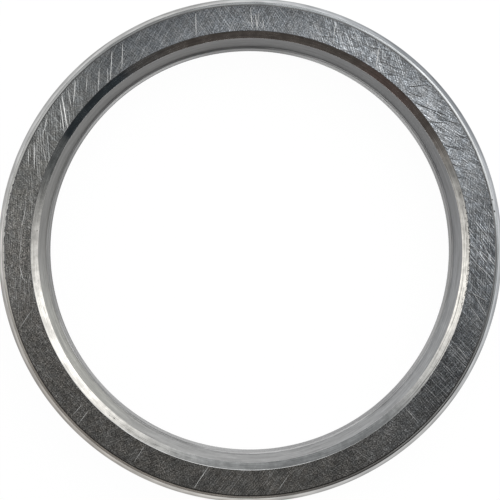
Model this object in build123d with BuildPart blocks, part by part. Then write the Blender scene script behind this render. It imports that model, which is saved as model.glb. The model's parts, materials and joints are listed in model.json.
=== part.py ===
from build123d import *
import math
import os

# Seamless rolled ring in steel, forged in one piece and turned all over.
# Millimetres. +Z is the axis of the ring, and the origin is the middle of its back face.

# Rolled wall
bore_diameter = 250.0
wall_thickness = 25.0
ring_height = 40.0

# Stepped bore: a wider seat runs in from the front and stops at a narrow land at the back
seat_step = 1.0
land_height = 9.6
seat_root_radius = 0.4

# Front edge of the seat, left crisp by the tool
mouth_chamfer = 3.75

# Front outer edge: a shallow bevel beside the face, then a steep one that rolls into the outside
shallow_bevel_width = 1.6
shallow_bevel_angle = 27.0
steep_bevel_width = 3.2
steep_bevel_angle = 48.0
bevel_edge_radius = 0.6
outside_blend_radius = 2.2

# Back edges
back_outer_chamfer = 2.0
back_bore_chamfer = 1.0

# Radii, taken from the bore outwards
land_radius = bore_diameter / 2
seat_radius = land_radius + seat_step
mouth_radius = seat_radius + mouth_chamfer
outer_radius = land_radius + wall_thickness
steep_bevel_radius = outer_radius - steep_bevel_width
front_face_radius = steep_bevel_radius - shallow_bevel_width

# Heights, taken from the front face downwards
mouth_height = ring_height - mouth_chamfer
steep_bevel_height = ring_height - shallow_bevel_width * math.tan(math.radians(shallow_bevel_angle))
outside_height = steep_bevel_height - steep_bevel_width * math.tan(math.radians(steep_bevel_angle))

# Corners of the section with the radius on each, from the mouth of the bore round to the seat.
# A radius of 0 leaves the corner sharp.
section_corners = [
    ((mouth_radius, ring_height), 0),
    ((front_face_radius, ring_height), bevel_edge_radius),
    ((steep_bevel_radius, steep_bevel_height), bevel_edge_radius),
    ((outer_radius, outside_height), outside_blend_radius),
    ((outer_radius, back_outer_chamfer), 0),
    ((outer_radius - back_outer_chamfer, 0), 0),
    ((land_radius + back_bore_chamfer, 0), 0),
    ((land_radius, back_bore_chamfer), 0),
    ((land_radius, land_height), 0),
    ((seat_radius, land_height), seat_root_radius),
    ((seat_radius, mouth_height), 0),
]

with BuildPart() as rolled_ring:
    with BuildSketch(Plane.XZ) as section:
        with BuildLine() as section_outline:
            FilletPolyline(
                [corner for corner, radius in section_corners],
                radius=[radius for corner, radius in section_corners],
                close=True,
            )
        make_face()
    revolve(axis=Axis.Z)

rolled_ring.part.label = "rolled_ring"

os.makedirs("parts", exist_ok=True)
export_step(rolled_ring.part, "parts/rolled_ring.step")
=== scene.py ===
import json
import math
import random

import bmesh
import bpy
from mathutils import Matrix, Vector


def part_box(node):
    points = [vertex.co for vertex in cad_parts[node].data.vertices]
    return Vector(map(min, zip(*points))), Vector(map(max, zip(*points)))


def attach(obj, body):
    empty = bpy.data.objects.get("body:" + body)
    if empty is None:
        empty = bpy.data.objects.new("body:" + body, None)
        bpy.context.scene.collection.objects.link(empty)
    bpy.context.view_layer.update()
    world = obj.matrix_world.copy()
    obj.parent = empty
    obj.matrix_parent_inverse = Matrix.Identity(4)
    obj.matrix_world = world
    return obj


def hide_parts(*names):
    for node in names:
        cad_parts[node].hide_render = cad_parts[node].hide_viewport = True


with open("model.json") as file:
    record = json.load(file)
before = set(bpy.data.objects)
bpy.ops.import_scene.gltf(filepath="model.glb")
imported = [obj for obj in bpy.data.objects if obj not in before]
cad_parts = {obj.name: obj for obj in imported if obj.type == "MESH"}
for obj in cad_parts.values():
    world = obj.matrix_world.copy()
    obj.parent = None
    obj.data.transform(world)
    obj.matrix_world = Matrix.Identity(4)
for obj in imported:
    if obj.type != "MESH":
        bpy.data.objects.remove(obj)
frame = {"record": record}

scene = bpy.context.scene
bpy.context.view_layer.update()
mm = 0.001  # millimetres to metres


# Sizes that the frame gives

mounts = {mount["name"]: mount for mount in frame["record"]["mounts"]}
boxLow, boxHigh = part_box("rolled_ring")
ringHeight = boxHigh.z - boxLow.z
seatRadius = mounts["seat_bore"]["dims"]["r_mm"] * mm
landRadius = mounts["land_bore"]["dims"]["r_mm"] * mm
outerRadius = mounts["outside"]["dims"]["r_mm"] * mm


# Camera: straight down on the front face, a little left of the axis as the photo's parallax shows

camera = {
    "aboveFace": 0.620,
    "leftOfAxis": 0.0064,
    "upFromAxis": 0.0002,
    "lens": 75.6,
    "sensorWidth": 36.0,
    "shiftRight": 0.02115,
    "clip": (0.01, 100.0),
}


def makeCamera():
    data = bpy.data.cameras.new("photoCamera")
    data.lens = camera["lens"]
    data.sensor_width = camera["sensorWidth"]
    data.shift_x = camera["shiftRight"]
    data.clip_start, data.clip_end = camera["clip"]
    obj = bpy.data.objects.new("photoCamera", data)
    obj.location = (-camera["leftOfAxis"], camera["upFromAxis"], ringHeight + camera["aboveFace"])
    scene.collection.objects.link(obj)
    scene.camera = obj
    print("camera placed", round(obj.location.z, 3), "m above the floor")


# Short helpers for node trees

def put(tree, kind, **settings):
    node = tree.nodes.new(kind)
    for name, value in settings.items():
        setattr(node, name, value)
    return node


def wire(tree, value, socket):
    if isinstance(value, bpy.types.NodeSocket):
        tree.links.new(value, socket)
    else:
        socket.default_value = value


def calc(tree, operation, *values):
    node = put(tree, "ShaderNodeMath", operation=operation)
    for value, socket in zip(values, node.inputs):
        wire(tree, value, socket)
    return node.outputs[0]


def ease(tree, value, low, high, toLow=0.0, toHigh=1.0):
    node = put(tree, "ShaderNodeMapRange", interpolation_type="SMOOTHSTEP")
    for item, socket in zip((value, low, high, toLow, toHigh), node.inputs):
        wire(tree, item, socket)
    return node.outputs[0]


def stretch(tree, texture, least, most, reach=0.2):
    # a noise, which keeps near 0.5, spread over the range from least to most
    return ease(tree, texture, 0.5 - reach, 0.5 + reach, least, most)


def mixColour(tree, factor, first, second, blend="MIX"):
    node = put(tree, "ShaderNodeMix", data_type="RGBA", blend_type=blend)
    wire(tree, factor, node.inputs[0])
    wire(tree, first, node.inputs[6])
    wire(tree, second, node.inputs[7])
    return node.outputs[2]


def grey(tree, value):
    node = put(tree, "ShaderNodeCombineColor")
    for socket in node.inputs:
        wire(tree, value, socket)
    return node.outputs[0]


def noise(tree, vector, scale, detail=2.0, roughness=0.5):
    node = put(tree, "ShaderNodeTexNoise", noise_dimensions="3D")
    wire(tree, vector, node.inputs["Vector"])
    wire(tree, scale, node.inputs["Scale"])
    wire(tree, detail, node.inputs["Detail"])
    wire(tree, roughness, node.inputs["Roughness"])
    return node.outputs[0]


def shifted(tree, vector, offset):
    node = put(tree, "ShaderNodeVectorMath", operation="ADD")
    wire(tree, vector, node.inputs[0])
    wire(tree, offset, node.inputs[1])
    return node.outputs[0]


def vectorDot(tree, vector, direction):
    node = put(tree, "ShaderNodeVectorMath", operation="DOT_PRODUCT")
    wire(tree, vector, node.inputs[0])
    wire(tree, direction, node.inputs[1])
    return node.outputs["Value"]


def flatDirection(tree, vector):
    # unit vector towards the point, seen along the axis of the ring
    flat = put(tree, "ShaderNodeVectorMath", operation="MULTIPLY")
    wire(tree, vector, flat.inputs[0])
    flat.inputs[1].default_value = (1.0, 1.0, 0.0)
    unit = put(tree, "ShaderNodeVectorMath", operation="NORMALIZE")
    tree.links.new(flat.outputs[0], unit.inputs[0])
    length = put(tree, "ShaderNodeVectorMath", operation="LENGTH")
    tree.links.new(flat.outputs[0], length.inputs[0])
    return unit.outputs[0], length.outputs["Value"]


def flatLength(tree, x, y):
    return calc(tree, "SQRT", calc(tree, "MULTIPLY_ADD", x, x, calc(tree, "MULTIPLY", y, y)))


def newGroup(name, inputs, outputs):
    tree = bpy.data.node_groups.new(name, "ShaderNodeTree")
    for label, kind, value in inputs:
        socket = tree.interface.new_socket(name=label, in_out="INPUT", socket_type=kind)
        if value is not None:
            socket.default_value = value
    for label, kind in outputs:
        tree.interface.new_socket(name=label, in_out="OUTPUT", socket_type=kind)
    return tree, put(tree, "NodeGroupInput").outputs, put(tree, "NodeGroupOutput").inputs


def useGroup(tree, group, **values):
    node = put(tree, "ShaderNodeGroup", node_tree=group)
    for name, value in values.items():
        wire(tree, value, node.inputs[name])
    return node


# Shared effects

def makeSectorGroup():
    # 1 inside a sector of the ring, easing to 0 past its ends
    tree, given, out = newGroup(
        "ringSector",
        [("Polar", "NodeSocketFloat", 0.0), ("Middle", "NodeSocketFloat", 0.0),
         ("Half", "NodeSocketFloat", 0.5), ("Soft", "NodeSocketFloat", 0.2)],
        [("Mask", "NodeSocketFloat")],
    )
    away = calc(tree, "WRAP", calc(tree, "SUBTRACT", given["Polar"], given["Middle"]), math.pi, -math.pi)
    inner = calc(tree, "SUBTRACT", given["Half"], given["Soft"])
    outer = calc(tree, "ADD", given["Half"], given["Soft"])
    wire(tree, ease(tree, calc(tree, "ABSOLUTE", away), inner, outer, 1.0, 0.0), out["Mask"])
    return tree


# one scratch to a cell: steps between the dice of neighbouring cells, and shares of the cell,
# each pair a range and its least value
scratchCell = {
    "columnStep": 17.137, "rowStep": 3.331,
    "place": (0.4, 0.3),
    "reach": (0.25, 0.22), "fadeFrom": 0.55,
    "depth": (0.6, 0.4),
    "strayStep": 13.7, "astray": 0.2,
}


def makeScratchGroup():
    # parallel scratches of uneven place, length and depth
    tree, given, out = newGroup(
        "scratchLines",
        [("X", "NodeSocketFloat", 0.0), ("Y", "NodeSocketFloat", 0.0), ("Direction", "NodeSocketFloat", 0.0),
         ("Spacing", "NodeSocketFloat", 0.002), ("Length", "NodeSocketFloat", 0.015),
         ("Thickness", "NodeSocketFloat", 0.15), ("Density", "NodeSocketFloat", 0.5),
         ("Lean", "NodeSocketFloat", 0.6), ("Seed", "NodeSocketFloat", 0.0)],
        [("Mask", "NodeSocketFloat"), ("Swing", "NodeSocketFloat")],
    )
    cosine = calc(tree, "COSINE", given["Direction"])
    sine = calc(tree, "SINE", given["Direction"])
    along = calc(tree, "MULTIPLY_ADD", given["Y"], sine, calc(tree, "MULTIPLY", given["X"], cosine))
    across = calc(tree, "SUBTRACT", calc(tree, "MULTIPLY", given["Y"], cosine),
                  calc(tree, "MULTIPLY", given["X"], sine))

    column = calc(tree, "DIVIDE", across, given["Spacing"])
    columnId = calc(tree, "FLOOR", column)
    columnPart = calc(tree, "FRACT", column)
    columnSeed = calc(tree, "MULTIPLY_ADD", columnId, scratchCell["columnStep"], given["Seed"])
    start = put(tree, "ShaderNodeTexWhiteNoise", noise_dimensions="1D")
    wire(tree, columnSeed, start.inputs["W"])
    row = calc(tree, "ADD", calc(tree, "DIVIDE", along, given["Length"]), start.outputs["Value"])
    rowPart = calc(tree, "SUBTRACT", calc(tree, "FRACT", row), 0.5)
    cellSeed = calc(tree, "MULTIPLY_ADD", calc(tree, "FLOOR", row), scratchCell["rowStep"], columnSeed)
    dice = put(tree, "ShaderNodeTexWhiteNoise", noise_dimensions="1D")
    wire(tree, cellSeed, dice.inputs["W"])
    roll = put(tree, "ShaderNodeSeparateColor")
    wire(tree, dice.outputs["Color"], roll.inputs[0])
    present = calc(tree, "LESS_THAN", dice.outputs["Value"], given["Density"])

    leaning = calc(tree, "MULTIPLY", calc(tree, "SUBTRACT", roll.outputs[1], 0.5), given["Lean"])
    middle = calc(tree, "MULTIPLY_ADD", roll.outputs[0], *scratchCell["place"])
    middle = calc(tree, "MULTIPLY_ADD", leaning, rowPart, middle)
    away = calc(tree, "ABSOLUTE", calc(tree, "SUBTRACT", columnPart, middle))
    line = ease(tree, away, 0.0, given["Thickness"], 1.0, 0.0)
    reach = calc(tree, "MULTIPLY_ADD", roll.outputs[2], *scratchCell["reach"])  # half the length that shows
    fadeFrom = calc(tree, "MULTIPLY", reach, scratchCell["fadeFrom"])
    fade = ease(tree, calc(tree, "ABSOLUTE", rowPart), fadeFrom, reach, 1.0, 0.0)
    depth = calc(tree, "MULTIPLY_ADD", roll.outputs[2], *scratchCell["depth"])
    mask = calc(tree, "MULTIPLY", calc(tree, "MULTIPLY", line, fade), calc(tree, "MULTIPLY", present, depth))
    wire(tree, mask, out["Mask"])
    # lines by turns lighter and darker than the ground, with a few out of turn
    turn = calc(tree, "MULTIPLY", calc(tree, "FRACT", calc(tree, "MULTIPLY", columnId, 0.5)), 2.0)
    stray = calc(tree, "FRACT", calc(tree, "MULTIPLY", roll.outputs[0], scratchCell["strayStep"]))
    astray = calc(tree, "LESS_THAN", stray, scratchCell["astray"])
    lighter = calc(tree, "ABSOLUTE", calc(tree, "SUBTRACT", turn, astray))
    swing = calc(tree, "MULTIPLY", mask, calc(tree, "MULTIPLY_ADD", lighter, 2.0, -1.0))
    wire(tree, swing, out["Swing"])
    return tree


def makeTurningGroup():
    # fine lines that a lathe tool leaves round the axis, by radius or by height
    tree, given, out = newGroup(
        "turningLines",
        [("Vector", "NodeSocketVector", None), ("Radial", "NodeSocketFloat", 0.0),
         ("Axial", "NodeSocketFloat", 1.0), ("Pitch", "NodeSocketFloat", 0.0004),
         ("Break", "NodeSocketFloat", 2.0), ("Seed", "NodeSocketFloat", 0.0)],
        [("Lines", "NodeSocketFloat")],
    )
    unit, radius = flatDirection(tree, given["Vector"])
    place = put(tree, "ShaderNodeSeparateXYZ")
    wire(tree, given["Vector"], place.inputs[0])
    way = calc(tree, "ADD", calc(tree, "MULTIPLY", radius, given["Radial"]),
               calc(tree, "MULTIPLY", place.outputs[2], given["Axial"]))
    turns = calc(tree, "ADD", calc(tree, "DIVIDE", way, given["Pitch"]), given["Seed"])
    around = put(tree, "ShaderNodeSeparateXYZ")
    wire(tree, unit, around.inputs[0])
    aroundX = calc(tree, "MULTIPLY", around.outputs[0], given["Break"])
    aroundY = calc(tree, "MULTIPLY", around.outputs[1], given["Break"])
    spot = put(tree, "ShaderNodeCombineXYZ")
    wire(tree, turns, spot.inputs[0])
    wire(tree, aroundX, spot.inputs[1])
    wire(tree, aroundY, spot.inputs[2])
    wire(tree, noise(tree, spot.outputs[0], 1.0, detail=2.0, roughness=0.6), out["Lines"])
    return tree


sectorGroup = makeSectorGroup()
scratchGroup = makeScratchGroup()
turningGroup = makeTurningGroup()
print("shared effects made")


def newMaterial(name):
    material = bpy.data.materials.new(name)
    material.use_nodes = True
    tree = material.node_tree
    tree.nodes.clear()
    shader = put(tree, "ShaderNodeBsdfPrincipled")
    output = put(tree, "ShaderNodeOutputMaterial")
    tree.links.new(shader.outputs[0], output.inputs["Surface"])
    spot = put(tree, "ShaderNodeTexCoord").outputs["Object"]
    return material, tree, shader, spot


def addBump(tree, shader, height, strength, distance):
    bump = put(tree, "ShaderNodeBump")
    bump.inputs["Strength"].default_value = strength
    bump.inputs["Distance"].default_value = distance
    wire(tree, height, bump.inputs["Height"])
    tree.links.new(bump.outputs[0], shader.inputs["Normal"])


def polarPlace(tree, spot):
    place = put(tree, "ShaderNodeSeparateXYZ")
    wire(tree, spot, place.inputs[0])
    return place.outputs[0], place.outputs[1], calc(tree, "ARCTAN2", place.outputs[1], place.outputs[0])


def sector(tree, polar, middle, half, soft):
    node = useGroup(tree, sectorGroup, Polar=polar, Middle=math.radians(middle),
                    Half=math.radians(half), Soft=math.radians(soft))
    return node.outputs["Mask"]


# Front face: ground by hand, patch after patch, each in a direction of its own

groundFace = {
    "cool": (0.1225, 0.129, 0.136, 1.0),
    # the warm ground is warmer and darker: painted shade over its sector of the face
    "warmShaded": (0.0886, 0.0852, 0.0800, 1.0),
    "warmShadedSector": (238, 78, 38),
    "bright": (0.62, 0.63, 0.63, 1.0),
    "dark": (0.030, 0.030, 0.030, 1.0),
    "rough": 0.42, "roughSwing": 0.06, "glint": 2.0,
    "bump": 0.3, "bumpDistance": 0.08 * mm,
    "patchHalf": 15, "patchSoft": 9,
    "seedStep": 7.0,
    "strokeSpacing": 0.66 * mm, "strokeThickness": 0.42, "strokeDensity": 1.0, "strokeSeeds": (500.0, 700.0),
    "lineSpacing": 1.3 * mm, "lineLength": 24.0 * mm, "lineThickness": 0.18, "lineDensity": 0.40,
    "lineSeeds": (20.0, 120.0), "lineTurn": 4, "lineCrossing": 0.45,
    "darkSeed": 300.0, "darkSoft": 10,
    "grainScale": 1350.0,
    "cloudScale": 120.0, "cloudTones": (0.95, 1.05),
    # painted light on the inner part of the face and painted shade towards its outer edge, in the upper right
    # sector
    "radialShadeSector": (66, 56, 20), "radialShade": 0.14,
    "radialShadeRadii": (131 * mm, 144 * mm), "radialShadeEdgeRadii": (142.2 * mm, 143.8 * mm),
    "rimSector": (265, 95, 15), "rim": 0.60, "rimRadii": (129.9 * mm, 130.6 * mm),
    "blotSector": (205, 55, 20), "blot": 0.18, "blotElsewhere": 0.06, "blotScale": 620.0,
    "rust": (1.014, 1.0, 0.984, 1.0), "blue": (0.984, 1.0, 1.014, 1.0), "tintScale": 260.0,
    "oliveSector": (152, 24, 16), "olive": (1.025, 1.006, 0.955, 1.0),
    "waver": 0.35 * mm, "blotWaver": 0.6 * mm, "waverScale": 170.0,
}

# middle of the patch, direction of its strokes and of those across them, length in mm,
# share of the strokes across, tone (painted light and shade round the ring), contrast of the strokes and of
# the grain, strength of its bright lines
grindings = [
    (0, 127, 84, 9, 0.70, 0.61, 2.05, 0.70, 0.48),
    (30, 145, 74, 7, 0.50, 0.95, 1.60, 0.90, 0.26),
    (60, 106, 150, 6, 0.75, 0.77, 1.65, 1.00, 0.30),
    (90, 125, 62, 8, 0.95, 0.57, 1.00, 0.90, 0.20),
    (120, 60, 140, 8, 1.00, 0.54, 0.85, 0.66, 0.16),
    (150, 92, 135, 11, 0.50, 0.82, 1.50, 0.72, 0.44),
    (180, 86, 140, 6, 0.60, 0.99, 1.20, 0.98, 0.26),
    (210, 130, 50, 4, 0.80, 0.81, 0.90, 1.05, 0.16),
    (240, 25, 112, 5, 0.70, 0.86, 1.00, 1.08, 0.17),
    (270, 50, 130, 7, 0.50, 1.01, 1.00, 0.90, 0.20),
    (300, 140, 40, 4, 0.70, 0.82, 1.00, 1.25, 0.18),
    (330, 131, 45, 6, 0.55, 0.48, 1.70, 1.00, 0.34),
]

# direction, middle and half of the sector, spacing and length in mm, thickness, density, strength
darkScratches = [
    (158, 30, 50, 2.9, 26, 0.15, 0.45, 1.00),
    (20, 180, 170, 3.4, 12, 0.12, 0.35, 0.50),
    (75, 100, 60, 2.6, 12, 0.13, 0.35, 0.45),
    (172, 40, 36, 3.4, 20, 0.13, 0.45, 1.00),
]


def scratchLines(tree, x, y, direction, spacing, length, thickness, density, seed):
    node = useGroup(tree, scratchGroup, X=x, Y=y, Direction=math.radians(direction), Spacing=spacing,
                    Length=length, Thickness=thickness, Density=density, Seed=seed)
    return node.outputs


def nextLayer(tree, done, x):
    # x again, but worked out after this layer, so that few values are held at a time
    tooLittleToShow = 1e-9
    return calc(tree, "MULTIPLY_ADD", done, tooLittleToShow, x)


def makeGroundFace():
    material, tree, shader, spot = newMaterial("groundFace")
    x, y, polar = polarPlace(tree, spot)

    def texture(away, scale, **settings):
        return noise(tree, shifted(tree, spot, away), scale, **settings)

    # strokes waver, most where the face is blotched
    blotSector = sector(tree, polar, *groundFace["blotSector"])
    waver = calc(tree, "MULTIPLY_ADD", blotSector, groundFace["blotWaver"], groundFace["waver"])
    aside = calc(tree, "SUBTRACT", texture((1.0, 0.0, 7.0), groundFace["waverScale"]), 0.5)
    upward = calc(tree, "SUBTRACT", texture((0.0, 2.0, 9.0), groundFace["waverScale"]), 0.5)
    x = calc(tree, "MULTIPLY_ADD", aside, waver, x)
    y = calc(tree, "MULTIPLY_ADD", upward, waver, y)

    # patches of crossed strokes, with brighter lines over them
    grain = texture((3.0, 1.0, 0.0), groundFace["grainScale"], roughness=0.6)
    speckle = stretch(tree, grain, -1.0, 1.0)
    tone, relief, bright, dark = 0.0, 0.0, 0.0, 0.0
    layer = x
    for number, patch in enumerate(grindings):
        middle, along, across, length, crossing, patchLightShade, stroke, grit, strength = patch
        patchSeed = groundFace["seedStep"] * number
        inPatch = sector(tree, polar, middle, groundFace["patchHalf"], groundFace["patchSoft"])
        # each patch's tone is painted light and shade, brighter or darker round the ring
        tone = calc(tree, "MULTIPLY_ADD", inPatch, patchLightShade, tone)
        swing = calc(tree, "MULTIPLY", speckle, grit)
        for direction, share, seed in zip((along, across), (1.0, crossing), groundFace["strokeSeeds"]):
            lines = scratchLines(tree, layer, y, direction, groundFace["strokeSpacing"],
                                 length * mm, groundFace["strokeThickness"],
                                 groundFace["strokeDensity"], seed + patchSeed)
            swing = calc(tree, "MULTIPLY_ADD", lines["Swing"], share * stroke, swing)
            layer = nextLayer(tree, lines["Swing"], x)
        relief = calc(tree, "MULTIPLY_ADD", swing, inPatch, relief)
        shown = calc(tree, "MULTIPLY", inPatch, strength)
        directions = (along + groundFace["lineTurn"], across)
        shares = (1.0, groundFace["lineCrossing"])
        for direction, share, seed in zip(directions, shares, groundFace["lineSeeds"]):
            lines = scratchLines(tree, layer, y, direction, groundFace["lineSpacing"],
                                 groundFace["lineLength"], groundFace["lineThickness"],
                                 groundFace["lineDensity"], seed + patchSeed)
            bright = calc(tree, "MULTIPLY_ADD", lines["Mask"], calc(tree, "MULTIPLY", shown, share), bright)
            layer = nextLayer(tree, lines["Mask"], x)
    for number, row in enumerate(darkScratches):
        angle, middle, half, spacing, length, thickness, density, strength = row
        lines = scratchLines(tree, layer, y, angle, spacing * mm, length * mm, thickness, density,
                             groundFace["darkSeed"] + groundFace["seedStep"] * number)
        shown = calc(tree, "MULTIPLY", sector(tree, polar, middle, half, groundFace["darkSoft"]), strength)
        dark = calc(tree, "MULTIPLY_ADD", lines["Mask"], shown, dark)
        layer = nextLayer(tree, lines["Mask"], x)

    # ground colour and its tints; the warm sector is darker too, painted shade over the lower left of the
    # face
    warmShaded = sector(tree, polar, *groundFace["warmShadedSector"])
    colour = mixColour(tree, warmShaded, groundFace["cool"], groundFace["warmShaded"])
    rusty = texture((4.0, 0.0, 3.0), groundFace["tintScale"], detail=3.0)
    rusty = stretch(tree, rusty, 0.0, 1.0, reach=0.15)
    tint = mixColour(tree, rusty, groundFace["blue"], groundFace["rust"])
    colour = mixColour(tree, 1.0, colour, tint, "MULTIPLY")
    olive = sector(tree, polar, *groundFace["oliveSector"])
    colour = mixColour(tree, olive, colour, groundFace["olive"], "MULTIPLY")

    # light and shade over it
    clouds = noise(tree, spot, groundFace["cloudScale"], detail=3.0, roughness=0.6)
    mottle = calc(tree, "POWER", groundFace["glint"], relief)
    mottle = calc(tree, "MULTIPLY", mottle, stretch(tree, clouds, *groundFace["cloudTones"], reach=0.25))
    blots = texture((0.0, 5.0, 2.0), groundFace["blotScale"], detail=3.0, roughness=0.6)
    blotted = calc(tree, "MULTIPLY_ADD", blotSector, groundFace["blot"], groundFace["blotElsewhere"])
    blotted = calc(tree, "MULTIPLY_ADD", stretch(tree, blots, -1.0, 1.0), blotted, 1.0)
    mottle = calc(tree, "MULTIPLY", mottle, blotted)
    mottle = calc(tree, "MULTIPLY", mottle, tone)
    radius = flatLength(tree, x, y)
    # painted light inward and painted shade towards the outer edge, in one sector
    inward = ease(tree, radius, *groundFace["radialShadeRadii"], groundFace["radialShade"], -groundFace["radialShade"])
    outerEdge = ease(tree, radius, *groundFace["radialShadeEdgeRadii"], 0.0, -groundFace["radialShade"])
    inward = calc(tree, "ADD", inward, outerEdge)
    radialShade = calc(tree, "MULTIPLY_ADD", inward, sector(tree, polar, *groundFace["radialShadeSector"]), 1.0)
    mottle = calc(tree, "MULTIPLY", mottle, radialShade)
    rim = ease(tree, radius, *groundFace["rimRadii"], groundFace["rim"] - 1.0, 0.0)
    rim = calc(tree, "MULTIPLY_ADD", rim, sector(tree, polar, *groundFace["rimSector"]), 1.0)
    mottle = calc(tree, "MULTIPLY", mottle, rim)
    colour = mixColour(tree, 1.0, colour, grey(tree, mottle), "MULTIPLY")
    colour = mixColour(tree, calc(tree, "MINIMUM", dark, 1.0), colour, groundFace["dark"])
    colour = mixColour(tree, calc(tree, "MINIMUM", bright, 1.0), colour, groundFace["bright"])

    wire(tree, colour, shader.inputs["Base Color"])
    shader.inputs["Metallic"].default_value = 1.0
    rough, swing = groundFace["rough"], groundFace["roughSwing"]
    wire(tree, stretch(tree, clouds, rough - swing, rough + swing), shader.inputs["Roughness"])
    addBump(tree, shader, calc(tree, "ADD", grain, clouds), groundFace["bump"], groundFace["bumpDistance"])
    return material


# Turned surfaces: colour, roughness, the lines that the tool left, and light and shade painted on by sector,
# radius and height

# what a finish has where its own row says nothing
turned = {
    "metal": 1.0, "gloss": 0.5, "roughSwing": 0.03,
    "radial": 1.0, "axial": 0.0, "pitch": 0.0004, "break": 12.0, "bumpDistance": 0.05 * mm,
    "mottle": (45.0, 0.06), "slopes": [], "stainsLightShade": [],
    "scoreBreak": 2.0, "scoreSeed": 40.0, "scoreEdge": (0.58, 0.63),
}

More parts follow.
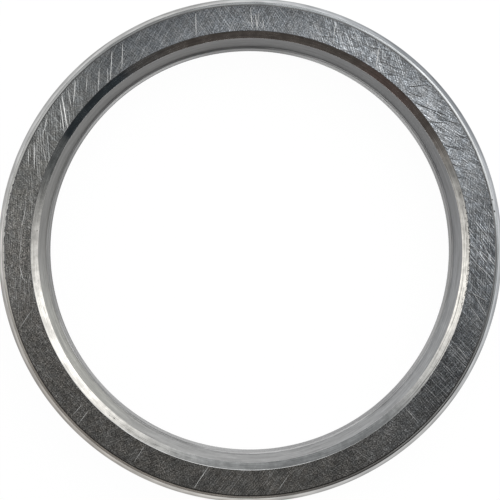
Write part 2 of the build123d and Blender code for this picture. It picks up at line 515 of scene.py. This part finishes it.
# mottle: scale and share; slopes: light and shade painted as tones from the inner to the outer radius in mm;
# stains, and light and shade painted by sector: middle, half and soft end of the sector, and the tone or
# colour that it is multiplied by;
# deep: shade painted darkest at the low height in mm and not dark from the high one
turnedFinishes = {
    # mouth chamfer: painted light towards the bore and painted shade towards the face, and painted light and
    # shade in small sectors; the tinted sectors are its own colour
    "mouthChamfer": {
        "colour": (0.63, 0.62, 0.60, 1.0), "rough": 0.07,
        "pitch": 0.0006, "break": 6.0, "contrast": 0.14, "bump": 0.02, "mottle": (190.0, 0.16),
        "slopes": [{"radii": (126.0, 129.8), "tones": (1.10, 0.92)}],
        "scores": {"pitch": 0.0007, "sector": (352, 38, 10), "dark": 0.55},
        "stainsLightShade": [(50, 8, 6, (1.12, 0.98, 0.97)), (120, 8, 6, (0.93, 1.0, 1.06)), (331, 8, 7, 0.90),
                   (346, 6, 6, 1.12), (8, 10, 8, 0.92), (30, 6, 6, 1.15), (180, 7, 6, 0.90)],
    },
    # mouth edge: a painted highlight over the lower sector
    "mouthEdge": {
        "colour": (0.12, 0.12, 0.12, 1.0), "rough": 0.22, "contrast": 0.20, "bump": 0.05,
        "stainsLightShade": [(290, 62, 14, 2.0)],
    },
    # seat bore: painted shade over the upper half, and lower down in the upper sector
    "seatBore": {
        "colour": (0.23, 0.23, 0.23, 1.0), "rough": 0.45, "metal": 0.25, "gloss": 0.22,
        "radial": 0.0, "axial": 1.0, "pitch": 0.0022, "break": 5.0, "contrast": 0.30, "bump": 0.15,
        "mottle": (170.0, 0.15),
        "stainsLightShade": [(92, 84, 30, 0.475), (212, 20, 12, (1.14, 1.15, 1.10)), (44, 20, 14, 0.91),
                   (14, 22, 14, (0.84, 0.84, 0.85)), (172, 14, 12, (0.78, 0.78, 0.77)),
                   (165, 75, 30, (1.01, 1.0, 0.96)), (5, 65, 40, (0.98, 1.0, 1.03))],
        "deep": {"sector": (100, 52, 25), "low": 12.0, "high": 34.0, "dark": 0.62},
    },
    # land bore: painted light and shade sector by sector, and painted shade low down in the upper left
    "landBore": {
        "colour": (0.27, 0.27, 0.27, 1.0), "rough": 0.40, "metal": 0.2, "gloss": 0.3,
        "axial": 1.0, "pitch": 0.0015, "break": 5.0, "contrast": 0.18, "bump": 0.12,
        "stainsLightShade": [(174, 30, 14, (0.45, 0.45, 0.44)), (298, 26, 14, (0.69, 0.69, 0.70)), (90, 14, 8, 0.62),
                   (54, 22, 12, 1.40), (225, 20, 12, 0.80), (127, 19, 8, 1.58), (8, 22, 12, 0.74)],
        "deep": {"sector": (150, 62, 14), "low": 2.0, "high": 4.8, "dark": 0.18},
    },
    # shoulder: painted light and shade sector by sector, lighter over the lower half
    "shoulder": {
        "colour": (0.32, 0.32, 0.32, 1.0), "rough": 0.45, "metal": 0.2, "gloss": 0.3,
        "pitch": 0.0015, "break": 5.0, "contrast": 0.18, "bump": 0.10,
        "stainsLightShade": [(116, 34, 14, 0.62), (168, 32, 12, 0.75), (58, 18, 14, 1.70), (270, 60, 20, 1.10),
                   (236, 24, 12, 0.62)],
    },
    "bevelEdge": {
        "colour": (0.10, 0.10, 0.10, 1.0), "rough": 0.34, "contrast": 0.25, "bump": 0.10,
        "stainsLightShade": [(265, 75, 12, (0.34, 0.32, 0.30)), (88, 82, 15, 0.50)],
    },
    "bevelRidge": {
        "colour": (0.30, 0.30, 0.30, 1.0), "rough": 0.26, "contrast": 0.20, "bump": 0.05,
        "stainsLightShade": [(316, 26, 12, 0.14), (138, 48, 15, 0.45)],
    },
    # shallow bevel: painted light and shade, a bright line towards its outer edge in the upper right, darker
    # towards it at the lower right, and lighter or darker by sector
    "shallowBevel": {
        "colour": (0.32, 0.32, 0.315, 1.0), "rough": 0.26, "contrast": 0.20, "bump": 0.08,
        "slopes": [{"radii": (145.4, 146.0), "tones": (0.55, 1.46), "sector": (25, 50, 20)},
                   {"radii": (146.05, 146.4), "tones": (1.0, 0.25), "sector": (314, 26, 8)}],
        "stainsLightShade": [(40, 45, 25, (0.96, 1.0, 1.05)), (228, 36, 20, (1.78, 1.68, 1.56)),
                   (275, 12, 12, (1.36, 1.33, 1.30)), (320, 17, 10, 1.52),
                   (352, 17, 10, (0.72, 0.74, 0.76)), (92, 14, 10, 1.55), (137, 10, 8, 1.34)],
    },
    # steep bevel: painted shade towards the outside, darker at its inner edge at the lower right, and painted
    # light and shade by sector
    "steepBevel": {
        "colour": (0.46, 0.46, 0.455, 1.0), "rough": 0.12,
        "axial": 0.6, "pitch": 0.0005, "break": 10.0, "contrast": 0.20, "bump": 0.08,
        "slopes": [{"radii": (147.6, 149.2), "tones": (1.08, 0.76)},
                   {"radii": (146.85, 147.2), "tones": (0.12, 1.0), "sector": (314, 26, 8)}],
        "stainsLightShade": [(42, 20, 14, (0.61, 0.63, 0.65)), (205, 38, 15, (0.80, 0.78, 0.76)), (82, 14, 10, 1.16),
                   (180, 8, 8, 1.45), (325, 22, 12, 0.96), (42, 10, 8, 0.84),
                   (30, 60, 20, (0.97, 1.0, 1.05)), (240, 40, 20, (1.04, 1.0, 0.95))],
    },
    "outside": {
        "colour": (0.44, 0.44, 0.43, 1.0), "rough": 0.36,
        "radial": 0.0, "axial": 1.0, "pitch": 0.0011, "break": 4.0, "contrast": 0.22, "bump": 0.15,
    },
    "backFace": {
        "colour": (0.34, 0.34, 0.335, 1.0), "rough": 0.40,
        "pitch": 0.0009, "break": 4.0, "contrast": 0.25, "bump": 0.15,
    },
}


def turningLines(tree, spot, finish, **values):
    node = useGroup(tree, turningGroup, Vector=spot, Radial=finish["radial"], Axial=finish["axial"], **values)
    return node.outputs["Lines"]


def makeTurned(name):
    finish = {**turned, **turnedFinishes[name]}
    material, tree, shader, spot = newMaterial(name)
    x, y, polar = polarPlace(tree, spot)
    height = vectorDot(tree, spot, (0.0, 0.0, 1.0))
    radius = flatLength(tree, x, y)
    lines = turningLines(tree, spot, finish, Pitch=finish["pitch"], Break=finish["break"])
    mottleScale, mottle = finish["mottle"]
    clouds = noise(tree, spot, mottleScale, detail=4.0, roughness=0.6)
    tone = calc(tree, "ADD", stretch(tree, lines, 1.0 - finish["contrast"], 1.0 + finish["contrast"]),
                stretch(tree, clouds, -mottle, mottle))
    if "scores" in finish:
        scores = finish["scores"]
        ridges = turningLines(tree, spot, finish, Pitch=scores["pitch"], Break=finish["scoreBreak"],
                              Seed=finish["scoreSeed"])
        cut = ease(tree, ridges, *finish["scoreEdge"])
        cut = calc(tree, "MULTIPLY", cut, sector(tree, polar, *scores["sector"]))
        tone = calc(tree, "MULTIPLY", tone, calc(tree, "MULTIPLY_ADD", cut, scores["dark"] - 1.0, 1.0))
    # light and shade painted from the inner to the outer radius
    for slope in finish["slopes"]:
        inner, outer = slope["radii"]
        across = ease(tree, radius, inner * mm, outer * mm, slope["tones"][0] - 1.0, slope["tones"][1] - 1.0)
        if "sector" in slope:
            across = calc(tree, "MULTIPLY", across, sector(tree, polar, *slope["sector"]))
        tone = calc(tree, "MULTIPLY", tone, calc(tree, "ADD", across, 1.0))
    # shade painted darker lower down
    if "deep" in finish:
        deep = finish["deep"]
        sunk = ease(tree, height, deep["low"] * mm, deep["high"] * mm, deep["dark"] - 1.0, 0.0)
        sunk = calc(tree, "MULTIPLY_ADD", sunk, sector(tree, polar, *deep["sector"]), 1.0)
        tone = calc(tree, "MULTIPLY", tone, sunk)
    colour = mixColour(tree, 1.0, finish["colour"], grey(tree, tone), "MULTIPLY")
    # stains, and light and shade painted sector by sector
    for middle, half, soft, tint in finish["stainsLightShade"]:
        tint = tint if isinstance(tint, tuple) else (tint, tint, tint)
        colour = mixColour(tree, sector(tree, polar, middle, half, soft), colour, (*tint, 1.0), "MULTIPLY")
    wire(tree, colour, shader.inputs["Base Color"])
    shader.inputs["Metallic"].default_value = finish["metal"]
    shader.inputs["Specular IOR Level"].default_value = finish["gloss"]
    rough, swing = finish["rough"], finish["roughSwing"]
    wire(tree, stretch(tree, clouds, rough - swing, rough + swing), shader.inputs["Roughness"])
    addBump(tree, shader, lines, finish["bump"], finish["bumpDistance"])
    return material


# Bare metal in the scratches, and a near-black colour in the pits, the scores and the dark scratches

cutLooks = {
    "freshCut": {"dark": (0.25, 0.25, 0.25, 1.0), "light": (0.52, 0.52, 0.51, 1.0), "grainScale": 900.0,
                 "metal": 1.0, "gloss": 0.5, "rough": 0.32},
    "darkPit": {"dark": (0.012, 0.012, 0.011, 1.0), "light": (0.05, 0.049, 0.047, 1.0), "grainScale": 1200.0,
                "metal": 0.0, "gloss": 0.1, "rough": 0.7},
}
cutFinishes = list(cutLooks)


def makeCut(name):
    look = cutLooks[name]
    material, tree, shader, spot = newMaterial(name)
    grain = noise(tree, spot, look["grainScale"])
    wire(tree, mixColour(tree, grain, look["dark"], look["light"]), shader.inputs["Base Color"])
    shader.inputs["Metallic"].default_value = look["metal"]
    shader.inputs["Specular IOR Level"].default_value = look["gloss"]
    shader.inputs["Roughness"].default_value = look["rough"]
    return material


# Scratches deep enough to catch the light, and the nicks that handling left

scratch = {"width": 0.42 * mm, "depth": 0.08 * mm, "uneven": 0.03 * mm, "seed": 11}

# angle round the ring, radius in mm, direction, length in mm, share of the full width (below 0: a dark one)
deepScratches = [
    (143.2, 136.8, 100, 22.2, 1.40), (144.7, 136.1, 98, 19.1, 1.10), (123.4, 137.3, 88, 16.5, 0.72),
    (126.9, 136.7, 87, 18.9, 0.80), (131.6, 134.7, 88, 14.8, 0.68), (138.0, 139.7, 85, 14.2, 0.85),
    (148.6, 141.8, 76, 14.6, 0.80), (156.3, 139.3, 90, 17.1, 1.00), (154.7, 134.6, 102, 10.5, 0.60),
    (156.9, 142.4, 92, 8.9, 0.60), (103.5, 137.4, 91, 14.2, 0.60), (89.7, 137.3, 95, 13.3, 0.60),
    (56.7, 137.1, 80, 12.9, 1.20), (68.9, 138.1, 83, 11.9, 0.70), (37.4, 136.0, 158, 26.0, -1.70),
    (359.8, 139.8, 117, 18.5, 0.55), (355.2, 138.0, 138, 15.8, 0.60), (344.1, 138.8, 126, 13.9, 0.50),
    (334.4, 138.5, 131, 11.7, 0.50), (314.4, 136.4, 131, 13.4, 0.45), (257.8, 137.2, 56, 16.5, 0.90),
    (278.2, 138.3, 56, 11.7, 0.55), (241.4, 137.3, 57, 12.0, 0.60), (225.0, 139.7, 54, 11.0, 0.60),
    (222.7, 139.3, 48, 10.4, 0.60), (171.9, 135.2, 78, 14.5, 0.70), (197.1, 138.9, 56, 13.6, 0.60),
    (179.0, 135.6, 84, 20.2, 0.55), (185.4, 135.9, 104, 10.4, 0.50), (35.6, 137.0, 150, 11.9, -1.40),
    (44.7, 138.0, 6, 14.8, -1.30), (43.8, 133.3, 152, 9.4, -1.20), (33.1, 133.0, 153, 8.3, -1.20),
    (212.2, 134.5, 169, 8.6, -0.90), (219.5, 136.6, 149, 9.8, -0.90),
    (33.2, 139.3, 166, 13.7, -1.35), (34.2, 134.2, 2, 11.0, -1.10), (26.6, 134.5, 164, 13.8, -1.20),
    (358.2, 140.3, 135, 12.5, 0.55), (348.4, 138.8, 150, 9.8, 0.50), (346.8, 139.5, 120, 14.9, 0.60),
    (88.5, 135.2, 97, 9.8, 0.50), (88.1, 135.4, 83, 11.0, 0.50), (86.7, 134.3, 101, 8.6, 0.45),
    (129.2, 133.2, 93, 9.3, 0.50), (134.4, 138.1, 86, 11.8, 0.55), (139.9, 139.4, 99, 11.0, 0.60),
]

# scores round the mouth chamfer: first and last angle, radius in mm, share of the full width
mouthScores = [
    (344, 14, 127.3, 0.40), (349, 22, 128.2, 0.50), (342, 8, 129.0, 0.40), (231, 252, 128.0, 0.50),
    (236, 250, 128.5, 0.35), (185, 204, 127.0, 0.30), (168, 180, 128.6, 0.35),
]

# angle round the ring, radius and depth below the face in mm, size along, across and deep in mm
nicks = [
    (231.0, 128.0, 1.75, 1.3, 0.7, 0.6), (229.6, 128.4, 1.40, 0.7, 0.4, 0.4),
    (174.7, 126.9, 2.85, 0.9, 0.7, 0.6),
    (165.0, 129.9, 0.0, 1.6, 0.9, 0.5), (165.6, 130.3, 0.0, 0.9, 0.6, 0.4),
    (9.1, 146.1, 0.6, 1.7, 1.4, 0.9), (10.7, 145.0, 0.0, 2.2, 1.4, 0.7), (11.8, 146.0, 0.5, 1.4, 1.2, 0.8),
    (13.6, 145.1, 0.0, 1.2, 0.8, 0.5), (16.8, 145.0, 0.0, 1.3, 0.7, 0.4), (20.2, 145.1, 0.0, 1.0, 0.7, 0.4),
]

# rows of small nicks along an edge: first and last angle, radius and depth below the face, count,
# least and greatest length and width, depth of each, all lengths in mm
nickRows = [
    {"from": 344, "to": 372, "radius": 129.45, "below": 0.25, "count": 50,
     "along": (0.7, 2.2), "across": (0.5, 1.1), "deep": 0.5},
    {"from": 344, "to": 376, "radius": 128.9, "below": 0.85, "count": 26,
     "along": (0.6, 1.5), "across": (0.3, 0.5), "deep": 0.4},
    {"from": 12, "to": 46, "radius": 145.5, "below": 0.15, "count": 36,
     "along": (0.5, 1.4), "across": (0.3, 0.6), "deep": 0.3},
    {"from": 161, "to": 188, "radius": 145.5, "below": 0.15, "count": 30,
     "along": (0.7, 2.2), "across": (0.5, 1.0), "deep": 0.5},
    {"from": 316, "to": 344, "radius": 129.8, "below": 0.0, "count": 24,
     "along": (0.5, 1.4), "across": (0.4, 0.7), "deep": 0.4},
]

# how unlike each other they come out: reach of a groove in degrees, and shares of its size;
# roughness of a nick as a share of its width, and the mm that it strays from its row
spread = {
    "scoreReach": (2.0, 4.5), "scoreLap": 1.1, "scoreWidth": (0.7, 1.2), "scoreStep": (0.9, 1.4),
    "nickUneven": 0.125, "nickStray": 0.2,
}


def jitter(dice, verts, amount):
    for vert in verts:
        vert.co += Vector([dice.uniform(-amount, amount) for axis in range(3)])


def polarPoint(angle, radius, height):
    turn = math.radians(angle)
    return Vector((radius * math.cos(turn), radius * math.sin(turn), height))


def paint(verts, finish):
    for face in {face for vert in verts for face in vert.link_faces}:
        face.material_index = cutFinishes.index(finish)


def addSpindle(bm, dice, place, aim, length, share, finish):
    # a slim double cone that leaves a V groove; its local X is the depth, Z the way it runs
    size = Matrix.Diagonal((scratch["depth"] * share, scratch["width"] * share / 2, length / 2, 1.0))
    spot = Matrix.Translation(place) @ aim @ Matrix.Rotation(math.pi / 2, 4, "Y") @ size
    made = bmesh.ops.create_uvsphere(bm, u_segments=4, v_segments=6, radius=1.0, matrix=spot)["verts"]
    jitter(dice, made, scratch["uneven"] * share)
    paint(made, finish)


def addScores(bm, dice, first, last, radius, share):
    # short grooves end to end, each laid flat on the chamfer
    last += 360 if last < first else 0
    below = radius - seatRadius - ring["mouthChamfer"]
    angle = first
    while angle < last:
        reach = dice.uniform(*spread["scoreReach"])
        aim = Matrix.Rotation(math.radians(angle + 90), 4, "Z") @ Matrix.Rotation(-math.pi / 4, 4, "X")
        length = math.radians(reach) * radius * spread["scoreLap"]
        width = share * dice.uniform(*spread["scoreWidth"])
        addSpindle(bm, dice, polarPoint(angle, radius, ringHeight + below), aim, length, width, "darkPit")
        angle += reach * dice.uniform(*spread["scoreStep"])


def addNick(bm, dice, angle, radius, below, along, across, deep):
    place = Matrix.Translation(polarPoint(angle, radius, ringHeight - below))
    aim = Matrix.Rotation(math.radians(angle + 90), 4, "Z")
    size = Matrix.Diagonal((along / 2, across / 2, deep / 2, 1.0))
    made = bmesh.ops.create_icosphere(bm, subdivisions=1, radius=1.0, matrix=place @ aim @ size)["verts"]
    jitter(dice, made, across * spread["nickUneven"])
    paint(made, "darkPit")


def makeCutters():
    dice = random.Random(scratch["seed"])
    bm = bmesh.new()
    for angle, radius, direction, length, share in deepScratches:
        aim = Matrix.Rotation(math.radians(direction), 4, "Z")
        addSpindle(bm, dice, polarPoint(angle, radius * mm, ringHeight), aim, length * mm, abs(share),
                   "darkPit" if share < 0 else "freshCut")
    for first, last, radius, share in mouthScores:
        addScores(bm, dice, first, last, radius * mm, share)
    for angle, radius, below, along, across, deep in nicks:
        addNick(bm, dice, angle, radius * mm, below * mm, along * mm, across * mm, deep * mm)
    for row in nickRows:
        for number in range(row["count"]):
            angle = dice.uniform(row["from"], row["to"])
            radius = (row["radius"] + dice.uniform(-spread["nickStray"], spread["nickStray"])) * mm
            addNick(bm, dice, angle, radius, row["below"] * mm, dice.uniform(*row["along"]) * mm,
                    dice.uniform(*row["across"]) * mm, row["deep"] * mm)
    mesh = bpy.data.meshes.new("cutters")
    bm.to_mesh(mesh)
    bm.free()
    return bpy.data.objects.new("cutters", mesh)


# The ring itself

ring = {
    "spinSteps": 720,
    "landHeight": 9.6 * mm,
    "mouthChamfer": 3.75 * mm,
    "shallowWidth": 1.6 * mm, "shallowAngle": 27.0,
    "steepWidth": 3.2 * mm, "steepAngle": 48.0,
    "bevelEdgeRadius": 0.6 * mm,
    "blendRadius": 2.2 * mm,
    "rootRadius": 0.4 * mm,
    "edgeBreak": 0.06 * mm,
    "mouthBreak": 0.15 * mm,
    "burrWidth": 0.55 * mm,
    "backOuterChamfer": 2.0 * mm, "backBoreChamfer": 1.0 * mm,
    "weld": 0.001 * mm,
}


def roundedReach(radius, turn):
    # how far along each side of a corner its rounding starts
    return radius * math.tan(math.radians(turn) / 2)


def ringCorners():
    steepTop = ringHeight - ring["shallowWidth"] * math.tan(math.radians(ring["shallowAngle"]))
    outsideTop = steepTop - ring["steepWidth"] * math.tan(math.radians(ring["steepAngle"]))
    steepRadius = outerRadius - ring["steepWidth"]
    faceRadius = steepRadius - ring["shallowWidth"]
    mouthRadius = seatRadius + ring["mouthChamfer"]
    shallowTurn = ring["shallowAngle"]
    steepTurn = ring["steepAngle"] - ring["shallowAngle"]
    # radius, height, reach of the rounding, its segments
    return [
        (mouthRadius, ringHeight, ring["mouthBreak"], 2),
        (faceRadius - ring["burrWidth"], ringHeight, 0, 0),
        (faceRadius, ringHeight, roundedReach(ring["bevelEdgeRadius"], shallowTurn), 4),
        (steepRadius, steepTop, roundedReach(ring["bevelEdgeRadius"], steepTurn), 4),
        (outerRadius, outsideTop, roundedReach(ring["blendRadius"], 90 - ring["steepAngle"]), 8),
        (outerRadius, ring["backOuterChamfer"], 0, 0),
        (outerRadius - ring["backOuterChamfer"], 0, 0, 0),
        (landRadius + ring["backBoreChamfer"], 0, 0, 0),
        (landRadius, ring["backBoreChamfer"], 0, 0),
        (landRadius, ring["landHeight"], ring["edgeBreak"], 2),
        (seatRadius, ring["landHeight"], ring["rootRadius"], 3),
        (seatRadius, ringHeight - ring["mouthChamfer"], ring["edgeBreak"], 2),
    ]


finishOrder = ["groundFace", "mouthChamfer", "mouthEdge", "seatBore", "landBore", "shoulder", "bevelEdge",
               "bevelRidge", "shallowBevel", "steepBevel", "outside", "backFace"]


# what tells one band of the section from another: the least rise of its normal, or its width
bands = {
    "flat": 0.9999, "mouthEdge": 0.72, "mouthChamfer": 0.3, "shoulder": 0.1,
    "shallow": 0.78, "steep": 0.05, "back": -0.3, "wall": -0.7,
    "roundedWidth": 0.6 * mm, "smoothWidth": 0.45 * mm,
    "angleSlack": 0.005, "inwardSlack": 0.01,
    "landSlack": 0.5 * mm, "sameSpot": 0.01 * mm,
}


def bandWidth(face):
    radii = [vert.co.xy.length for vert in face.verts]
    heights = [vert.co.z for vert in face.verts]
    return math.hypot(max(radii) - min(radii), max(heights) - min(heights))


def finishOf(face):
    middle = face.calc_center_median()
    radius = middle.xy.length
    outward = face.normal.xy.dot(middle.xy / radius)
    up = face.normal.z
    front = middle.z > ringHeight / 2
    steepFrom = math.cos(math.radians(ring["steepAngle"]))
    shallowFrom = math.cos(math.radians(ring["shallowAngle"]))
    rounded = bandWidth(face) < bands["roundedWidth"]
    if front and rounded and up > steepFrom + bands["angleSlack"] and outward > -bands["inwardSlack"]:
        return "bevelEdge" if up > shallowFrom else "bevelRidge"
    if front and up > bands["flat"]:
        return "groundFace"
    if front and outward < 0 and up > bands["mouthEdge"]:
        return "mouthEdge"
    if front and outward < 0 and up > bands["mouthChamfer"]:
        return "mouthChamfer"
    if up > bands["shoulder"] and not front and radius > landRadius + ring["edgeBreak"]:
        return "shoulder"
    if radius < seatRadius + bands["landSlack"] and middle.z < ring["landHeight"] + bands["landSlack"]:
        return "landBore"
    if outward < bands["wall"]:
        return "seatBore"
    if front and up > bands["shallow"]:
        return "shallowBevel"
    if up > bands["steep"] and outward > 0:
        return "steepBevel"
    if up < bands["back"]:
        return "backFace"
    return "outside"


def makeRing():
    bm = bmesh.new()
    corners = ringCorners()
    points = [bm.verts.new((radius, 0, height)) for radius, height, reach, segments in corners]
    bm.faces.new(points)
    for point, (radius, height, reach, segments) in zip(points, corners):
        if reach:
            bmesh.ops.bevel(bm, geom=[point], offset=reach, offset_type="OFFSET", affect="VERTICES",
                            segments=segments, profile=0.5, material=-1)
    bmesh.ops.delete(bm, geom=bm.faces[:], context="FACES_ONLY")
    bmesh.ops.spin(bm, geom=bm.verts[:] + bm.edges[:], cent=(0, 0, 0), axis=(0, 0, 1), dvec=(0, 0, 0),
                   angle=2 * math.pi, steps=ring["spinSteps"], use_merge=True, use_duplicate=False)
    bmesh.ops.remove_doubles(bm, verts=bm.verts[:], dist=ring["weld"])
    bmesh.ops.recalc_face_normals(bm, faces=bm.faces[:])
    for face in bm.faces:
        face.smooth = True
        face.material_index = finishOrder.index(finishOf(face))
    # broad bands keep their own normals up to their edges
    for edge in bm.edges:
        one, other = (vert.co for vert in edge.verts)
        apart = max(abs(one.xy.length - other.xy.length), abs(one.z - other.z))
        widest = max(bandWidth(face) for face in edge.link_faces)
        if apart < bands["sameSpot"] and widest > bands["smoothWidth"]:
            edge.smooth = False
    mesh = bpy.data.meshes.new("rolledRing")
    bm.to_mesh(mesh)
    bm.free()
    obj = bpy.data.objects.new("rolledRing", mesh)
    scene.collection.objects.link(obj)
    return obj


def makeFinish(name):
    if name == "groundFace":
        return makeGroundFace()
    return makeCut(name) if name in cutLooks else makeTurned(name)


def cutInto(obj, cutters):
    scene.collection.objects.link(cutters)
    modifier = obj.modifiers.new("cuts", "BOOLEAN")
    modifier.operation = "DIFFERENCE"
    modifier.solver = "EXACT"
    modifier.use_self = True
    modifier.material_mode = "TRANSFER"
    modifier.object = cutters
    seen = obj.evaluated_get(bpy.context.evaluated_depsgraph_get())
    cut = bpy.data.meshes.new_from_object(seen)
    obj.modifiers.clear()
    plain = obj.data
    obj.data = cut
    cut.name = "rolledRing"
    bpy.data.meshes.remove(plain)
    bpy.data.meshes.remove(cutters.data)


ringObj = makeRing()
for finishName in finishOrder:
    ringObj.data.materials.append(makeFinish(finishName))
cutterObj = makeCutters()
for finishName in cutFinishes:
    cutterObj.data.materials.append(makeFinish(finishName))
cutInto(ringObj, cutterObj)
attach(ringObj, "root")
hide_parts("rolled_ring")
print("ring made,", len(ringObj.data.polygons), "faces")


# Floor and light

floor = {"radius": 12.0, "segments": 96, "white": 0.9, "showWhite": 0.97}

# panels round the ring, all angles in degrees
studioPanels = [
    {"name": "rightSoftbox", "azimuth": 27.5, "half": 29.5, "soft": 46, "low": 5, "high": 38, "level": 1.56,
     "tint": (1.0, 0.985, 0.955)},
    {"name": "greyDoor", "azimuth": 343, "half": 14, "soft": 2, "low": -20, "high": 30, "level": 0.075,
     "tint": (1.0, 1.0, 0.97)},
    {"name": "leftSoftbox", "azimuth": 171, "half": 20.5, "soft": 52, "low": 5, "high": 32, "level": 1.42,
     "tint": (1.0, 0.98, 0.94)},
    {"name": "greyWall", "azimuth": 108, "half": 48, "soft": 24, "low": -20, "high": 50, "level": 0.28,
     "tint": (0.97, 1.0, 1.03)},
    {"name": "wallGlow", "azimuth": 78, "half": 12, "soft": 20, "low": -20, "high": 50, "level": 0.09,
     "tint": (1.0, 1.0, 1.0)},
    {"name": "brownWall", "azimuth": 254, "half": 51, "soft": 8, "low": -20, "high": 30, "level": 0.036,
     "tint": (1.45, 0.97, 0.64)},
    {"name": "lowerFill", "azimuth": 285, "half": 76, "soft": 50, "low": 22, "high": 55, "level": 0.39,
     "tint": (1.03, 1.0, 0.97)},
    {"name": "cornerFill", "azimuth": 323, "half": 14, "soft": 20, "low": 22, "high": 55, "level": 0.14,
     "tint": (1.0, 1.0, 1.0)},
    {"name": "topFill", "azimuth": 92, "half": 12, "soft": 24, "low": 22, "high": 55, "level": 0.26,
     "tint": (1.0, 1.0, 1.0)},
    {"name": "upperFill", "azimuth": 145, "half": 45, "soft": 40, "low": 22, "high": 55, "level": 0.52,
     "tint": (1.0, 1.0, 1.0)},
]
studioShade = {
    "level": 0.040, "tint": (0.81, 1.0, 1.16),
    "overhead": 0.26, "overheadFrom": 45, "overheadFull": 65,
    "horizon": 4.2, "horizonEnd": 5.8,
    "lowSoft": 0.05, "highSoft": 0.12,
}
lamps = [
    {"name": "keySoftbox", "azimuth": 52, "elevation": 56, "distance": 1.6, "size": 1.8, "watts": 26.0},
    {"name": "sideSoftbox", "azimuth": 172, "elevation": 58, "distance": 1.6, "size": 1.3, "watts": 6.0},
]


def makeFloor():
    bm = bmesh.new()
    bmesh.ops.create_circle(bm, cap_ends=True, segments=floor["segments"], radius=floor["radius"])
    bmesh.ops.recalc_face_normals(bm, faces=bm.faces[:])
    mesh = bpy.data.meshes.new("floor")
    bm.to_mesh(mesh)
    bm.free()
    obj = bpy.data.objects.new("floor", mesh)
    scene.collection.objects.link(obj)
    material = bpy.data.materials.new("paleFloor")
    material.use_nodes = True
    tree = material.node_tree
    tree.nodes.clear()
    diffuse = put(tree, "ShaderNodeBsdfDiffuse")
    diffuse.inputs[0].default_value = (floor["white"], floor["white"], floor["white"], 1.0)
    glow = put(tree, "ShaderNodeEmission")
    glow.inputs[0].default_value = (1.0, 1.0, 1.0, 1.0)
    glow.inputs[1].default_value = 1.0
    path = put(tree, "ShaderNodeLightPath")
    seen = calc(tree, "MAXIMUM", path.outputs["Is Camera Ray"], path.outputs["Is Glossy Ray"])
    seen = calc(tree, "MAXIMUM", seen, path.outputs["Is Transmission Ray"])
    mix = put(tree, "ShaderNodeMixShader")
    wire(tree, calc(tree, "MULTIPLY", seen, floor["showWhite"]), mix.inputs[0])
    tree.links.new(diffuse.outputs[0], mix.inputs[1])
    tree.links.new(glow.outputs[0], mix.inputs[2])
    output = put(tree, "ShaderNodeOutputMaterial")
    tree.links.new(mix.outputs[0], output.inputs["Surface"])
    material.cycles.emission_sampling = "NONE"
    obj.data.materials.append(material)


def riseOf(degrees):
    return math.sin(math.radians(degrees))


def makeStudio():
    world = bpy.data.worlds.new("studio")
    scene.world = world
    world.use_nodes = True
    tree = world.node_tree
    tree.nodes.clear()
    way = put(tree, "ShaderNodeTexCoord").outputs["Generated"]
    height = put(tree, "ShaderNodeSeparateXYZ")
    wire(tree, way, height.inputs[0])
    rise = height.outputs[2]
    unit = flatDirection(tree, way)[0]
    shade = [part * studioShade["level"] for part in studioShade["tint"]]
    total = (*shade, 1.0)
    for panel in studioPanels:
        turn = math.radians(panel["azimuth"])
        away = calc(tree, "ARCCOSINE", vectorDot(tree, unit, (math.cos(turn), math.sin(turn), 0.0)))
        inner, outer = panel["half"] - panel["soft"] / 2, panel["half"] + panel["soft"] / 2
        across = ease(tree, away, math.radians(inner), math.radians(outer), 1.0, 0.0)
        low, lowSoft = riseOf(panel["low"]), studioShade["lowSoft"]
        high, highSoft = riseOf(panel["high"]), studioShade["highSoft"]
        up = calc(tree, "MULTIPLY", ease(tree, rise, low - lowSoft, low + lowSoft),
                  ease(tree, rise, high - highSoft, high + highSoft, 1.0, 0.0))
        colour = (*[part * panel["level"] for part in panel["tint"]], 1.0)
        lit = mixColour(tree, calc(tree, "MULTIPLY", across, up), (0, 0, 0, 1), colour)
        total = mixColour(tree, 1.0, total, lit, "ADD")
    top = ease(tree, rise, riseOf(studioShade["overheadFrom"]), riseOf(studioShade["overheadFull"]),
               0.0, studioShade["overhead"])
    total = mixColour(tree, 1.0, total, grey(tree, top), "ADD")
    horizon = ease(tree, rise, riseOf(studioShade["horizon"]), riseOf(studioShade["horizonEnd"]), 1.0, 0.0)
    total = mixColour(tree, horizon, total, (1.0, 1.0, 1.0, 1.0))
    background = put(tree, "ShaderNodeBackground")
    wire(tree, total, background.inputs[0])
    background.inputs[1].default_value = 1.0
    output = put(tree, "ShaderNodeOutputWorld")
    tree.links.new(background.outputs[0], output.inputs["Surface"])


def makeLamp(lamp):
    data = bpy.data.lights.new(lamp["name"], "AREA")
    data.shape = "DISK"
    data.size = lamp["size"]
    data.energy = lamp["watts"]
    obj = bpy.data.objects.new(lamp["name"], data)
    turn, tilt = math.radians(lamp["azimuth"]), math.radians(lamp["elevation"])
    way = Vector((math.cos(turn) * math.cos(tilt), math.sin(turn) * math.cos(tilt), math.sin(tilt)))
    obj.location = way * lamp["distance"]
    obj.rotation_euler = way.to_track_quat("Z", "Y").to_euler()
    obj.visible_camera = False
    scene.collection.objects.link(obj)


makeCamera()
makeFloor()
makeStudio()
for lamp in lamps:
    makeLamp(lamp)
scene.view_settings.view_transform = "Standard"
print("studio made")
